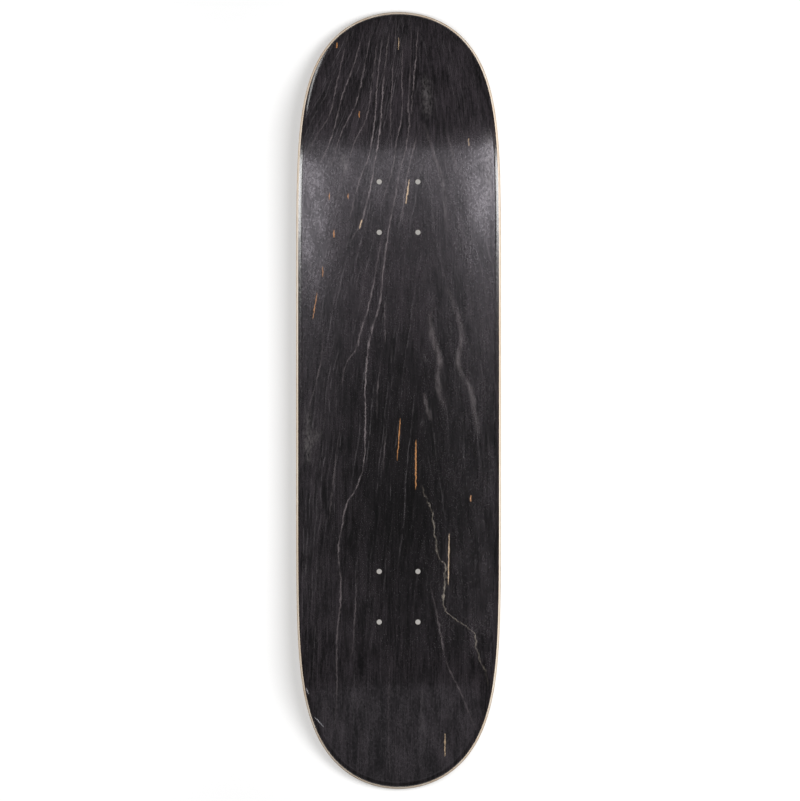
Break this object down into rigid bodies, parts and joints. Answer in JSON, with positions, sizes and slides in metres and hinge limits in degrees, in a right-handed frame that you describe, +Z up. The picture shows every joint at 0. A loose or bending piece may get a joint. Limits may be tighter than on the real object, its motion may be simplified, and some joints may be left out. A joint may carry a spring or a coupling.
{
  "type": "skateboard deck",
  "caption": "Bare popsicle-shaped skateboard deck of pressed maple veneers, with upturned nose and tail, concave and truck bolt holes.",
  "frame": {"origin": "on the surface that the deck lies on, under the middle of its width and length (bottom centre of its bounding box). The deck lies underside up, on the tips of its nose and tail", "axes": "+X across the deck, +Y along it towards the nose, +Z up, out of the underside where the trucks bolt on. The side that people stand on faces -Z"},
  "size_m": [0.219, 0.832, 0.0574],
  "materials": {
    "dyed_maple": "maple veneer stained black with a thin semi-gloss clear coat; long grain",
    "maple": "hard maple veneer, grain along the deck, natural, sanded",
    "cross_maple": "hard maple veneer, grain across the deck, so end grain shows along the sides",
    "glue": "cured water-based wood glue, a thin amber-brown line between veneers"
  },
  "bodies": {
    "root": {"top_veneer": "maple", "glue_line_1": "glue", "top_core_veneer": "maple", "glue_line_2": "glue", "top_crossband": "cross_maple", "glue_line_3": "glue", "middle_core_veneer": "maple", "glue_line_4": "glue", "bottom_crossband": "cross_maple", "glue_line_5": "glue", "bottom_core_veneer": "maple", "glue_line_6": "glue", "bottom_veneer": "dyed_maple"}
  },
  "joints": []
}
